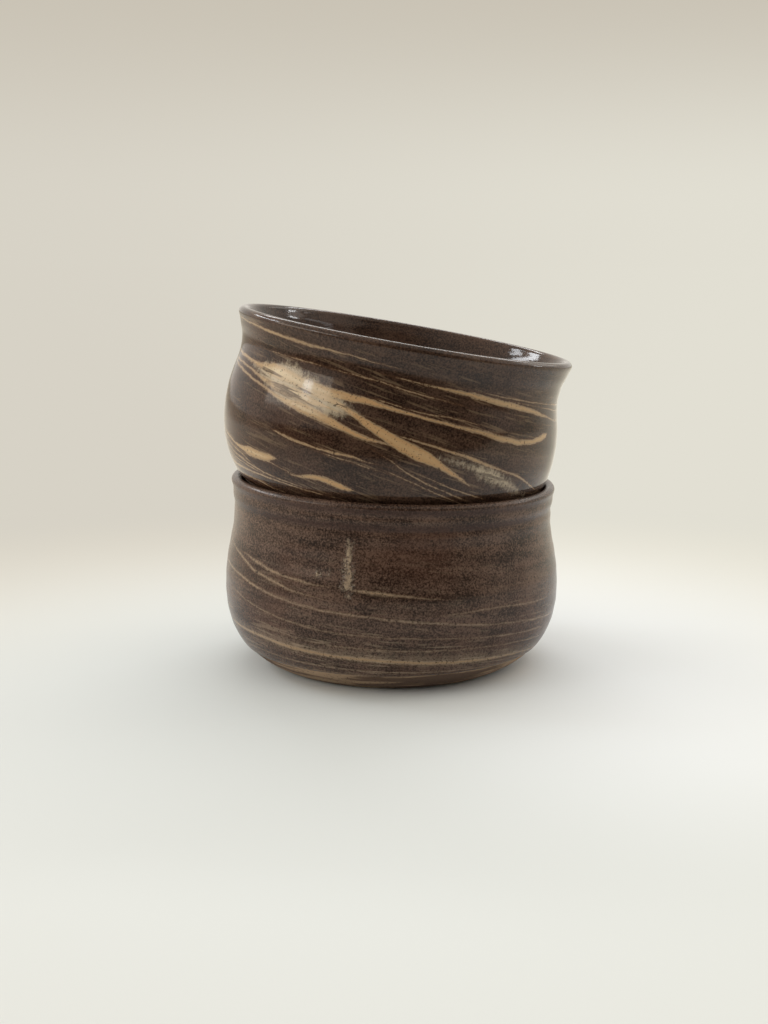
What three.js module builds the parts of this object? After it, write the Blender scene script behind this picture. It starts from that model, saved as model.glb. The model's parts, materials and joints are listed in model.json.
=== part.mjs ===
// Two handleless stoneware cups, the upper one leaning in the mouth of the lower one.
// Each cup is one thrown wall of marbled clay: flat turned foot, low round belly, drawn-in neck and
// flared rim. A coat of glaze covers it inside and out, over the rim, and stops short of the foot.
// Millimetres, Z up. The origin is on the table, under the middle of the pair's outline.
import * as THREE from "three";
import { mergeGeometries, mergeVertices } from "three/addons/utils/BufferGeometryUtils.js";

// Lower cup, measured on the clay without its glaze
const lowerHeight = 54.3;
const lowerRimRadius = 47.5;
const lowerNeckRadius = 46.6;
const lowerNeckHeight = 44.5;
const lowerBellyRadius = 49.2;
const lowerBellyHeight = 23;
const lowerFootRadius = 35;
const lowerFootRiseDegrees = 22;
const lowerFlareDegrees = 10;
const lowerRimWall = 2.4;
const lowerBellyWall = 3.4;
const lowerFloorThickness = 4.6;
const lowerFloorRadius = 20;
const lowerRimSlopeDegrees = 1.9; // thrown by hand, the rim stands higher on the -X side
const lowerRimOval = 0.8; // and is this much wider in radius from front to back

// Upper cup, measured in the same way
const upperHeight = 54.2;
const upperRimRadius = 48.8;
const upperNeckRadius = 46.6;
const upperNeckHeight = 43.6;
const upperBellyRadius = 48.7;
const upperBellyHeight = 27.7;
const upperFootRadius = 34.5;
const upperFootRiseDegrees = 40;
const upperFlareDegrees = 18;
const upperRimWall = 2.4;
const upperBellyWall = 3.4;
const upperFloorThickness = 4.6;
const upperFloorRadius = 20;
const upperRimSlopeDegrees = -0.3; // a little higher on the +X side
const upperRimOval = 0.3;

// Foot and glaze, alike on both cups
const footRingWidth = 6.5;
const footHollowDepth = 0.8; // turned into the underside, inside the ring that the cup stands on
const glazeThickness = 0.4;
const glazeLineHeight = 6; // below it the clay is bare

// How the upper cup sits in the lower one
const leanDegrees = 10.1; // towards +X
const seatClearance = 0.3;

// Fineness of the surfaces
const facetsAround = 36;
const stepsPerCurve = 4;
const stepsOverRim = 4;

// Directions in an outline, which runs in radius and height
const outward = new THREE.Vector2(1, 0);
const inward = new THREE.Vector2(-1, 0);
const up = new THREE.Vector2(0, 1);
const down = new THREE.Vector2(0, -1);

const lowerCup = {
  height: lowerHeight,
  rimRadius: lowerRimRadius,
  neckRadius: lowerNeckRadius,
  neckHeight: lowerNeckHeight,
  bellyRadius: lowerBellyRadius,
  bellyHeight: lowerBellyHeight,
  footRadius: lowerFootRadius,
  footRise: THREE.MathUtils.degToRad(lowerFootRiseDegrees),
  flare: THREE.MathUtils.degToRad(lowerFlareDegrees),
  rimWall: lowerRimWall,
  bellyWall: lowerBellyWall,
  floorThickness: lowerFloorThickness,
  floorRadius: lowerFloorRadius,
  rimSlope: THREE.MathUtils.degToRad(lowerRimSlopeDegrees),
  rimOval: lowerRimOval,
};

const upperCup = {
  height: upperHeight,
  rimRadius: upperRimRadius,
  neckRadius: upperNeckRadius,
  neckHeight: upperNeckHeight,
  bellyRadius: upperBellyRadius,
  bellyHeight: upperBellyHeight,
  footRadius: upperFootRadius,
  footRise: THREE.MathUtils.degToRad(upperFootRiseDegrees),
  flare: THREE.MathUtils.degToRad(upperFlareDegrees),
  rimWall: upperRimWall,
  bellyWall: upperBellyWall,
  floorThickness: upperFloorThickness,
  floorRadius: upperFloorRadius,
  rimSlope: THREE.MathUtils.degToRad(upperRimSlopeDegrees),
  rimOval: upperRimOval,
};

const bareClay = new THREE.MeshStandardMaterial({ color: 0x7d654d, roughness: 0.85, metalness: 0 });
const satinGlaze = new THREE.MeshStandardMaterial({ color: 0x5b4c40, roughness: 0.45, metalness: 0 });
const glossGlaze = new THREE.MeshStandardMaterial({ color: 0x4a3e36, roughness: 0.18, metalness: 0 });

// A curve that leaves its start and reaches its end in given directions. The pulls say how far it
// keeps to each direction, as shares of the straight distance.
function bend(start, leaving, startPull, end, arriving, endPull) {
  const distance = start.distanceTo(end);
  const first = start.clone().addScaledVector(leaving, startPull * distance);
  const second = end.clone().addScaledVector(arriving, -endPull * distance);
  return new THREE.CubicBezierCurve(start, first, second, end);
}

// The points of curves laid end to end, with each shared end taken once
function pointsAlong(curves, steps) {
  return curves.flatMap((curve, i) => curve.getPoints(steps).slice(i === 0 ? 0 : 1));
}

// The place on a rising curve that has a given height, as the curve's own parameter
function parameterAtHeight(curve, height) {
  let below = 0;
  let above = 1;
  for (let round = 0; round < 40; round += 1) {
    const middle = (below + above) / 2;
    if (curve.getPoint(middle).y < height) {
      below = middle;
    } else {
      above = middle;
    }
  }
  return below;
}

// The clay's outline in two stretches: the bare foot, from the middle of the underside to the glaze
// line, and the glazed face, from there up the outside, over the rim and down to the floor's middle.
function clayOutline(cup) {
  const hollowRadius = cup.footRadius - footRingWidth;
  const footEdge = new THREE.Vector2(cup.footRadius, 0);
  const belly = new THREE.Vector2(cup.bellyRadius, cup.bellyHeight);
  const neck = new THREE.Vector2(cup.neckRadius, cup.neckHeight);
  const risingFromFoot = outward.clone().rotateAround(new THREE.Vector2(), cup.footRise);
  const flared = up.clone().rotateAround(new THREE.Vector2(), -cup.flare);

  const rimRounding = cup.rimWall / 2;
  const rimCentre = new THREE.Vector2(cup.rimRadius - rimRounding, cup.height - rimRounding);
  const rim = new THREE.EllipseCurve(
    rimCentre.x, rimCentre.y, rimRounding, rimRounding, -cup.flare, Math.PI - cup.flare);
  const rimOutside = rim.getPoint(0);
  const rimInside = rim.getPoint(1);

  const neckInside = new THREE.Vector2(cup.neckRadius - cup.rimWall, cup.neckHeight);
  const bellyInside = new THREE.Vector2(cup.bellyRadius - cup.bellyWall, cup.bellyHeight);
  const floorEdge = new THREE.Vector2(cup.floorRadius, cup.floorThickness);
  const floorMiddle = new THREE.Vector2(0, cup.floorThickness);

  const lowerOutside = bend(footEdge, risingFromFoot, 0.31, belly, up, 0.49);
  const glazeLine = parameterAtHeight(lowerOutside, glazeLineHeight);
  const lowerOutsideBetween = (from, to) => Array.from(
    { length: stepsPerCurve + 1 },
    (_, i) => lowerOutside.getPoint(THREE.MathUtils.lerp(from, to, i / stepsPerCurve)));

  const bareFoot = [
    new THREE.Vector2(0, footHollowDepth),
    new THREE.Vector2(hollowRadius - footHollowDepth, footHollowDepth),
    new THREE.Vector2(hollowRadius, 0),
    ...lowerOutsideBetween(0, glazeLine),
  ];
  const upperOutside = pointsAlong([
    bend(belly, up, 0.5, neck, up, 0.3),
    bend(neck, up, 0.4, rimOutside, flared, 0.3),
  ], stepsPerCurve);
  const inside = pointsAlong([
    bend(rimInside, flared.clone().negate(), 0.3, neckInside, down, 0.4),
    bend(neckInside, down, 0.3, bellyInside, down, 0.5),
    bend(bellyInside, down, 0.5, floorEdge, inward, 0.5),
  ], stepsPerCurve);
  const glazedFace = [
    ...lowerOutsideBetween(glazeLine, 1),
    ...upperOutside.slice(1),
    ...rim.getPoints(stepsOverRim).slice(1),
    ...inside.slice(1),
    floorMiddle,
  ];
  return { bareFoot, glazedFace };
}

// The same outline moved out from the clay by a distance, square to it at each point
function movedOut(outline, distance) {
  return outline.map((point, i) => {
    const before = outline[Math.max(i - 1, 0)];
    const after = outline[Math.min(i + 1, outline.length - 1)];
    const along = after.clone().sub(before).normalize();
    return new THREE.Vector2(point.x + distance * along.y, point.y - distance * along.x);
  });
}

// An outline turned about the cup's axis, as an open surface. A hand-thrown wall is less true with
// the square of its height: each level tilts a little towards +X, which lifts its -X side, shifts
// with the levels below it, and widens from front to back.
function turned(outline, cup) {
  const surface = new THREE.LatheGeometry(outline, facetsAround);
  surface.deleteAttribute("uv");
  surface.deleteAttribute("normal");
  surface.rotateX(Math.PI / 2);
  const place = surface.getAttribute("position");
  for (let i = 0; i < place.count; i += 1) {
    const x = place.getX(i);
    const z = place.getZ(i);
    const share = (z / cup.height) ** 2;
    const tilt = Math.tan(cup.rimSlope) * share;
    place.setX(i, x + (tilt * z) / 3);
    place.setY(i, place.getY(i) * (1 + (share * cup.rimOval) / cup.rimRadius));
    place.setZ(i, z - tilt * x);
  }
  return surface;
}

// The same surface seen from its other side
function facingBack(surface) {
  const back = surface.clone();
  const corners = back.getIndex();
  for (let i = 0; i < corners.count; i += 3) {
    const second = corners.getX(i + 1);
    corners.setX(i + 1, corners.getX(i + 2));
    corners.setX(i + 2, second);
  }
  return back;
}

// One closed body from surfaces that meet edge to edge, without the empty triangles on the axis
function closedBody(surfaces) {
  const body = mergeVertices(mergeGeometries(surfaces));
  const corners = body.getIndex().array;
  const kept = [];
  for (let i = 0; i < corners.length; i += 3) {
    const [a, b, c] = corners.slice(i, i + 3);
    if (a !== b && b !== c && c !== a) {
      kept.push(a, b, c);
    }
  }
  body.setIndex(kept);
  body.computeVertexNormals();
  return body;
}

// A cup's clay and its coat of glaze. The glazed face is one surface that both share, so the coat
// lies on the clay with no gap and no overlap.
function makeCup(cup, name, glazeMaterial) {
  const { bareFoot, glazedFace } = clayOutline(cup);
  const coatFace = [glazedFace[0], ...movedOut(glazedFace, glazeThickness)];
  const sharedSurface = turned(glazedFace, cup);
  const coatSurface = turned(coatFace, cup);

  const clay = new THREE.Mesh(closedBody([turned(bareFoot, cup), sharedSurface]), bareClay);
  clay.name = `${name}_clay`;
  const glaze = new THREE.Mesh(closedBody([coatSurface, facingBack(sharedSurface)]), glazeMaterial);
  glaze.name = `${name}_glaze`;

  const whole = new THREE.Group();
  whole.add(clay, glaze);
  return whole;
}

// The points of a cup's rim that something in its mouth could touch: the corners of the coat's
// facets from the neck up, and the middles of their edges
function rimPoints(cup) {
  const { glazedFace } = clayOutline(cup);
  const coatSurface = turned(movedOut(glazedFace, glazeThickness), cup);
  const place = coatSurface.getAttribute("position");
  const corners = coatSurface.getIndex().array;
  const points = [];
  for (let i = 0; i < corners.length; i += 3) {
    const triangle = [0, 1, 2].map((k) => new THREE.Vector3().fromBufferAttribute(place, corners[i + k]));
    if (triangle.every((corner) => corner.z > cup.neckHeight)) {
      triangle.forEach((corner, k) => {
        points.push(corner, corner.clone().lerp(triangle[(k + 1) % 3], 0.5));
      });
    }
  }
  return points;
}

// Radius of an outline's outside at a height, or nothing below its foot
function radiusAtHeight(outside, height) {
  const above = outside.findIndex((point) => point.y > height);
  if (above < 1) {
    return 0;
  }
  const low = outside[above - 1];
  const high = outside[above];
  return THREE.MathUtils.mapLinear(height, low.y, high.y, low.x, high.x);
}

// Where the upper cup comes to rest: it is let down, leaning, until its outside comes within the
// seat clearance of the lower cup's rim, and slid along X to where that leaves it lowest.
function findSeat(lower, upper, lean) {
  const { bareFoot, glazedFace } = clayOutline(upper);
  const ring = bareFoot.slice(2);
  const belowBelly = glazedFace.slice(0, stepsPerCurve + 1);
  const outside = [
    ...movedOut(ring, seatClearance),
    ...movedOut(belowBelly, glazeThickness + seatClearance),
  ];
  const rim = rimPoints(lower);
  const upright = new THREE.Matrix4().makeRotationY(-lean);
  const point = new THREE.Vector3();

  const isClear = (slide, lift) => rim.every((rimPoint) => {
    point.set(rimPoint.x - slide, rimPoint.y, rimPoint.z - lift).applyMatrix4(upright);
    return Math.hypot(point.x, point.y) >= radiusAtHeight(outside, point.z);
  });
  const restingLift = (slide) => {
    let low = 0;
    let high = lower.height + upper.rimRadius;
    for (let round = 0; round < 20; round += 1) {
      const middle = (low + high) / 2;
      if (isClear(slide, middle)) {
        high = middle;
      } else {
        low = middle;
      }
    }
    return high;
  };

  let left = -lower.rimRadius / 2;
  let right = lower.rimRadius / 2;
  while (right - left > 0.01) {
    const third = (right - left) / 3;
    if (restingLift(left + third) < restingLift(right - third)) {
      right -= third;
    } else {
      left += third;
    }
  }
  return new THREE.Vector3(left, 0, restingLift(left));
}

const lean = THREE.MathUtils.degToRad(leanDegrees);
const lower = makeCup(lowerCup, "lower_cup", satinGlaze);
const upper = makeCup(upperCup, "upper_cup", glossGlaze);
upper.position.copy(findSeat(lowerCup, upperCup, lean));
upper.rotation.y = lean;

const pair = new THREE.Group();
pair.add(lower, upper);
const middle = new THREE.Box3().setFromObject(pair, true).getCenter(new THREE.Vector3());
lower.position.x -= middle.x;
upper.position.x -= middle.x;

export default pair;
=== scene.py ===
"""Finished surfaces, clay and glaze for a leaning pair of handleless marbled stoneware cups."""
import json
import math
from types import SimpleNamespace

import bpy
import numpy as np
from bpy.props import FloatProperty, FloatVectorProperty, PointerProperty
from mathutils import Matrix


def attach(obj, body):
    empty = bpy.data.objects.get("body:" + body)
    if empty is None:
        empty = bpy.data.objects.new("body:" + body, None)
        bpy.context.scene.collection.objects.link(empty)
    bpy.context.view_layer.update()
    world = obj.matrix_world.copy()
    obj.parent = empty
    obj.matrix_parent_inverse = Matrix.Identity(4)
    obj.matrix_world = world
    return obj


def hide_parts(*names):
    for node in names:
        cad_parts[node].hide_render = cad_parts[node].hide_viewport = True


bl_info = {
    "name": "Marbled Cups",
    "version": (1, 0, 0),
    "blender": (4, 5, 0),
    "location": "View3D > Sidebar > Cups",
    "description": "Turns and glazes a nested pair of marbled stoneware cups",
    "category": "Object",
}

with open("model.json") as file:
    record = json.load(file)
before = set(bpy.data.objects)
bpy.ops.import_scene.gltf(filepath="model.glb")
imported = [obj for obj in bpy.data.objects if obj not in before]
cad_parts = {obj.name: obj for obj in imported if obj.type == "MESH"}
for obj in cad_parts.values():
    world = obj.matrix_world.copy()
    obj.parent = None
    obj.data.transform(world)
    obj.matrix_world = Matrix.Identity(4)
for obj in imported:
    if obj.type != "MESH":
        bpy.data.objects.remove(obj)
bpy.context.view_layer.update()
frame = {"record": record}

LOWER_AXIS_X = frame["record"]["mounts"][0]["pos_m"][0]
TURNING_MAP = "Turning"
COLUMNS_AROUND = 256
MM = 0.001
DECIMETRES_IN_METRE = 10
GLAZE_IOR = 1.41
BLACK = (0.0, 0.0, 0.0)


def srgb(red, green, blue):
    """A colour as it is read off a screen, from 0 to 255, as the linear one that shaders use."""
    shares = np.array([red, green, blue]) / 255
    linear = np.where(shares <= 0.04045, shares / 12.92, ((shares + 0.055) / 1.055) ** 2.4)
    return tuple(float(share) for share in linear)


def length(name, description, default):
    """A length, in metres."""
    return FloatProperty(
        name=name, description=description, default=default, unit="LENGTH", subtype="DISTANCE", precision=4
    )


def angle(name, description, degrees):
    """An angle, given in degrees."""
    return FloatProperty(
        name=name, description=description, default=math.radians(degrees), unit="ROTATION", subtype="ANGLE"
    )


def colour(name, description, *screen):
    """A colour whose default is given as it is read off a screen."""
    return FloatVectorProperty(
        name=name, description=description, default=srgb(*screen), size=3, min=0, max=1, subtype="COLOR"
    )


# Sizes of a cup on its clay, without the glaze: kind, description, the lower cup's and the upper cup's
CUP_SIZES = {
    "height": (length, "From the foot to the rim's mean height", 0.0543, 0.0542),
    "rim_radius": (length, "Out to the rim's outer edge", 0.0475, 0.0488),
    "neck_radius": (length, "At the narrowest place below the rim", 0.0466, 0.0466),
    "neck_height": (length, "Height of that place", 0.0445, 0.0436),
    "belly_radius": (length, "At the widest place", 0.0492, 0.0487),
    "belly_height": (length, "Height of that place", 0.023, 0.0277),
    "foot_radius": (length, "Out to the edge that the cup stands on", 0.035, 0.0345),
    "foot_rise": (angle, "How steeply the wall leaves the foot", 22, 40),
    "flare": (angle, "How far the rim leans out", 10, 18),
    "rim_slope": (angle, "How much higher the rim stands on the -X side", 1.9, -0.3),
    "rim_oval": (length, "How much wider in radius the rim is from front to back", 0.0008, 0.0003),
    "ridge_depth": (length, "Depth of the ridges that the fingers left", 0.00007, 0.00003),
    "roll_depth": (length, "Depth of the dips above and below the roll under the rim", 0.0002, 0.00008),
}


def fields(column):
    """The properties of one cup, from its column of sizes."""
    return {
        name: kind(name.replace("_", " ").title(), description, values[column])
        for name, (kind, description, *values) in CUP_SIZES.items()
    }


class LowerCupSizes(bpy.types.PropertyGroup):
    """Sizes of the lower cup"""

    __annotations__ = fields(0)


class UpperCupSizes(bpy.types.PropertyGroup):
    """Sizes of the upper cup"""

    __annotations__ = fields(1)


class PairSizes(bpy.types.PropertyGroup):
    """What both cups share, and how the upper one sits in the lower one"""

    rim_wall: length("Rim Wall", "Thickness of the wall at the rim", 0.0024)
    belly_wall: length("Belly Wall", "Thickness of the wall at the belly", 0.0034)
    floor_thickness: length("Floor Thickness", "From the table to the floor inside", 0.0046)
    floor_radius: length("Floor Radius", "Out to where the floor turns up into the wall", 0.02)
    foot_ring: length("Foot Ring", "Width of the ring that a cup stands on", 0.0065)
    foot_hollow: length("Foot Hollow", "Depth turned out inside that ring", 0.0008)
    glaze: length("Glaze", "Thickness of the glaze", 0.00036)
    glaze_line: length("Glaze Line", "Height at which the glaze starts", 0.006)
    glaze_roll: length("Glaze Roll", "Distance over which the glaze thins out at its edge", 0.0012)
    foot_rounding: length("Foot Rounding", "Rounding of the foot ring's edges", 0.0003)
    lean: angle("Lean", "How far the upper cup leans towards +X", 10.1)
    seat_x: length("Seat X", "Where the middle of the upper cup's foot is", -0.006555)
    seat_z: length("Seat Height", "Height of the middle of the upper cup's foot", 0.043544)


class ClayColours(bpy.types.PropertyGroup):
    """Colours of the marbled clays as they look through the glaze"""

    satin_dark: colour("Satin Dark", "Brown clay of the lower cup where it is dark", 40, 27, 20)
    satin_light: colour("Satin Light", "Brown clay of the lower cup where it is light", 112, 89, 76)
    satin_thin: colour("Satin Lines", "Thin lines of pale clay in the lower cup", 172, 152, 128)
    gloss_dark: colour("Gloss Dark", "Brown clay of the upper cup where it is dark", 40, 26, 19)
    gloss_light: colour("Gloss Light", "Brown clay of the upper cup where it is light", 93, 71, 58)
    gloss_thin: colour("Gloss Lines", "Thin lines of pale clay in the upper cup", 160, 136, 108)
    red: colour("Red Brown", "Where the glaze has drawn iron out of the clay", 74, 42, 28)
    buff: colour("Buff", "The pale clay", 188, 157, 118)
    cream: colour("Cream", "The pale clay at its palest", 214, 192, 156)
    gold: colour("Gold", "The pale clay at its warmest", 204, 163, 115)
    # Painted shade: darkens the brown in the two dips under the lower cup's rim
    pool: colour("Pool", "Brown clay where the glaze over it is thick", 56, 31, 22)
    rust: colour("Rust", "The edge between the brown and the pale clay", 108, 76, 54)
    # Pale clay smeared over the brown. Over the upper cup's fan it is also a painted sheen of the window's
    # reflection
    smear_and_sheen: colour("Haze", "Pale clay smeared thinly over the brown", 220, 203, 174)
    bare_dark: colour("Bare Dark", "Brown clay without glaze", 94, 73, 58)
    bare_light: colour("Bare Light", "Pale clay without glaze", 164, 138, 112)
    cloth: colour("Cloth", "The cloth that the cups stand on", 223, 228, 229)
    cloth_right: colour("Cloth on the Right", "The same where more light falls on it", 241, 246, 250)
    # Painted shade: the cloth in front of the cups is dark to all rays but the camera's
    cloth_front_shade: colour("Cloth in Front", "The side of the camera, as the cups reflect it", 60, 56, 52)
    backdrop: colour("Backdrop", "Behind the cups", 215, 210, 198)
    backdrop_right: colour("Backdrop on the Right", "Behind the cups and on the +X side", 226, 223, 211)
    backdrop_top: colour("Backdrop Top", "Behind the cups and high up", 201, 194, 180)


# The streaks of pale clay. Each point is (degrees round from the front, millimetres up the
# wall from the foot's edge, half the width in millimetres). Degrees run from -180 to 180, and
# positive ones are on the +X side.
UPPER_STREAKS = [
    # Under the rim
    [(-96, 57.8, 0), (-80, 57.3, 0.3), (-62, 56.6, 0.5), (-47, 55.6, 0.65), (-36, 54.9, 0.65),
     (-21, 54.4, 0.45), (-9, 53.6, 0.3), (4, 53, 0)],
    [(-64, 50.6, 0), (-50, 50.3, 0.25), (-36, 50, 0.4), (-24, 49.6, 0.25), (-8, 48.7, 0.35), (3, 47.5, 0.4),
     (15, 46.4, 0.3), (24, 45.6, 0)],
    # On the right, under the neck
    [(-8, 50.9, 0), (0, 50.5, 0.3), (8, 50, 0.45), (20, 49.3, 0.75), (28, 48.6, 1), (36, 47.8, 1.1),
     (46, 46.8, 1.05), (54, 45.8, 0.85), (64, 44.4, 0.5), (78, 42.6, 0.4), (92, 41.6, 0)],
    [(22, 50.4, 0), (34, 49.7, 0.3), (47, 48.9, 0.35), (60, 48.2, 0.3), (75, 47.6, 0.45), (90, 47.2, 0.3),
     (104, 47, 0)],
    [(33, 49, 0), (45, 48.2, 0.25), (60, 47, 0.3), (76, 45.8, 0.4), (94, 45, 0.3), (112, 44.6, 0)],
    # The fan from the left, and the branch that hooks up at its end
    [(-104, 48.6, 0), (-90, 47.8, 0.5), (-80, 47.2, 0.6), (-66, 46.4, 0.7), (-58, 45.9, 0.9),
     (-50, 45.5, 1.6), (-44, 45.3, 2.2), (-38, 44.6, 2), (-31, 43.7, 1.9), (-24, 43.3, 1.75),
     (-16, 43.1, 1.45), (-7, 42.6, 1.05), (0, 41.9, 0.8), (10, 41, 0.7), (20, 40.2, 0.7), (30, 39.3, 0.85),
     (38, 38.2, 0.95), (44, 37.6, 1), (50, 37.6, 0.95), (55, 38.1, 1), (59, 38.8, 1.15), (62.2, 39.4, 1.05),
     (63.6, 39.7, 0)],
    [(-12, 44.2, 0), (-1, 43.2, 0.35), (5, 42.4, 0.35), (10, 42.2, 0.35), (16, 42.3, 0.35),
     (25, 41.6, 0.25), (33, 40.8, 0)],
    [(-98, 46.2, 0), (-86, 45.3, 0.45), (-74, 44.8, 0.5), (-66, 44.4, 0.5), (-57, 43.4, 0.6),
     (-50, 42.3, 0.9), (-44, 41.4, 1.3), (-38, 41, 1.8), (-33, 40.5, 1.8), (-27, 39.9, 1.3),
     (-21, 39.1, 0.6), (-14, 38, 0)],
    [(-104, 46, 0), (-92, 45.2, 0.4), (-80, 44, 0.5), (-65, 42.5, 0.5), (-54, 41, 0.6), (-46, 39.7, 0.7),
     (-40, 38.6, 0.9), (-34, 37.9, 1.5), (-29, 37.3, 1.8), (-24, 36.5, 1.6), (-16, 34.9, 1.2),
     (-10, 33.6, 0.9), (-4, 33, 0.6), (3, 32.4, 0)],
    # The broad branch down to the right
    [(-40, 43.6, 0), (-33, 43, 0.9), (-26, 42, 1.4), (-20, 41, 1.2), (-15, 39.6, 1.1), (-8, 37, 1.5),
     (-3, 35.2, 1.8), (2, 33.6, 2.1), (8, 32, 2.2), (13, 30.7, 1.8), (18, 28.9, 1.2), (23, 26.9, 0.8),
     (27, 25.3, 0.5), (31, 23.8, 0)],
    # Fine lines below the fan
    [(-42, 29.9, 0), (-37, 29.3, 0.45), (-31, 28.5, 0.6), (-24, 28.1, 0.5), (-17, 27.9, 0.55),
     (-11, 27.7, 0.45), (-5, 27.2, 0.25), (6, 26.2, 0)],
    [(-24, 27.4, 0), (-17, 26.8, 0.3), (-10, 26.2, 0.3), (-4, 25.5, 0.2), (6, 24.4, 0)],
    # Low on the left
    [(-100, 25.6, 0), (-88, 25, 0.3), (-77, 24.1, 0.5), (-65, 22.4, 0.6), (-57, 21.4, 1), (-51, 21.4, 1.6),
     (-45, 21.4, 1.5), (-41, 21.9, 1), (-38, 22.1, 0)],
    [(-52, 21, 0), (-46, 21, 0.7), (-41, 20.4, 0.4), (-35, 19.4, 0.3), (-30, 18.6, 0.5), (-26, 19.3, 0.9),
     (-21, 19.8, 1.1), (-17, 19.3, 1.25), (-13, 18.6, 1.05), (-9, 18.2, 0.4), (-7, 18, 0)],
    [(-104, 19.4, 0), (-90, 17.6, 0.5), (-80, 16.2, 0.65), (-70, 15, 0.7), (-57, 15.1, 0.6),
     (-46, 15.2, 0.5), (-38, 15.1, 0.45), (-30, 14.8, 0.4), (-22, 14.7, 0.35), (-10, 14.7, 0)],
    [(-96, 23.6, 0), (-80, 21.2, 0.4), (-69, 19.5, 0.45), (-61, 18.4, 0.5), (-49, 16.8, 0.45),
     (-41, 16.2, 0.4), (-33, 15.7, 0.35), (-20, 15.5, 0)],
    [(-90, 24, 0), (-80, 22.9, 0.4), (-71, 21.6, 0.45), (-61, 20, 0.45), (-54, 18.4, 0.4), (-48, 16.6, 0)],
    [(-88, 14, 0), (-76, 13, 0.4), (-66, 12.2, 0.5), (-52, 12.6, 0.5), (-44, 11.9, 0.4), (-34, 11.4, 0)],
    [(-84, 19.6, 0), (-72, 18, 0.35), (-60, 17, 0.4), (-50, 16.2, 0.35), (-42, 15.8, 0)],
    # The rusty streak down to the right
    [(-4, 36.6, 0), (3, 35.5, 0.4), (9, 34.8, 0.5), (16, 33.9, 0.55), (22, 33, 0.6), (28, 32, 0.7),
     (34, 30.6, 0.65), (40, 29.6, 0.5), (46, 28.5, 0.5), (52, 27, 0.5), (58, 25.2, 0.45), (66, 23, 0)],
    [(-6, 31, 0), (2, 28.1, 0.35), (7, 26.1, 0.4), (13, 24.1, 0.4), (18, 22.9, 0.35), (26, 21, 0.35),
     (38, 18.6, 0)],
    [(-2, 26, 0), (6, 24.4, 0.35), (14, 22.4, 0.35), (24, 20, 0.35), (36, 17.6, 0)],
    [(8, 26.8, 0), (16, 25, 0.35), (24, 23.2, 0.35), (34, 21.4, 0.3), (44, 19.6, 0)],
    # Round the back
    [(84, 33, 0), (98, 31.6, 0.5), (112, 29.6, 1), (124, 27.2, 1.5), (134, 25.6, 1.1), (146, 24.6, 0.5),
     (160, 24, 0)],
    [(92, 50.6, 0), (108, 50, 0.5), (124, 48.8, 0.9), (138, 47.2, 1.2), (150, 46.2, 0.7), (168, 45.8, 0)],
    [(100, 38.8, 0), (116, 38.2, 0.4), (132, 37, 0.6), (148, 35, 0.4), (172, 33.8, 0)],
    [(70, 19.6, 0), (86, 18.8, 0.4), (104, 17.2, 0.5), (124, 16.6, 0.3), (150, 16, 0)],
    [(-178, 42.8, 0), (-160, 42.2, 0.6), (-146, 40.4, 1.3), (-134, 38, 1.7), (-122, 36, 1), (-110, 35, 0.5),
     (-94, 34.4, 0)],
    [(-176, 51.8, 0), (-158, 51.6, 0.4), (-140, 51, 0.6), (-120, 49.8, 0.5), (-102, 49.2, 0)],
    [(-170, 30.8, 0), (-154, 29.6, 0.5), (-138, 27.6, 0.7), (-120, 26.6, 0.5), (-98, 26.4, 0)],
    [(-172, 19.8, 0), (-150, 19.2, 0.4), (-128, 18.2, 0.5), (-108, 18.4, 0.3), (-92, 19, 0)],
]
UPPER_CLOUDS = [
    # Pale clay that shows only faintly, above the rusty streak's end
    [(16, 31.4, 0), (22, 30.8, 0.4), (29, 29.6, 0.9), (37, 27.8, 1.5), (44, 25.8, 1.2), (52, 23.4, 0)],
    # The pale smear over the fan, with a painted sheen of the window's reflection round the highlight
    [(-58, 45, 0), (-51, 44.4, 2.2), (-44, 43.8, 4.2), (-37, 42.8, 5), (-31, 42, 4.6), (-26, 41.2, 3.8),
     (-21, 40.4, 3), (-13, 39.4, 0)],
]
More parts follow.
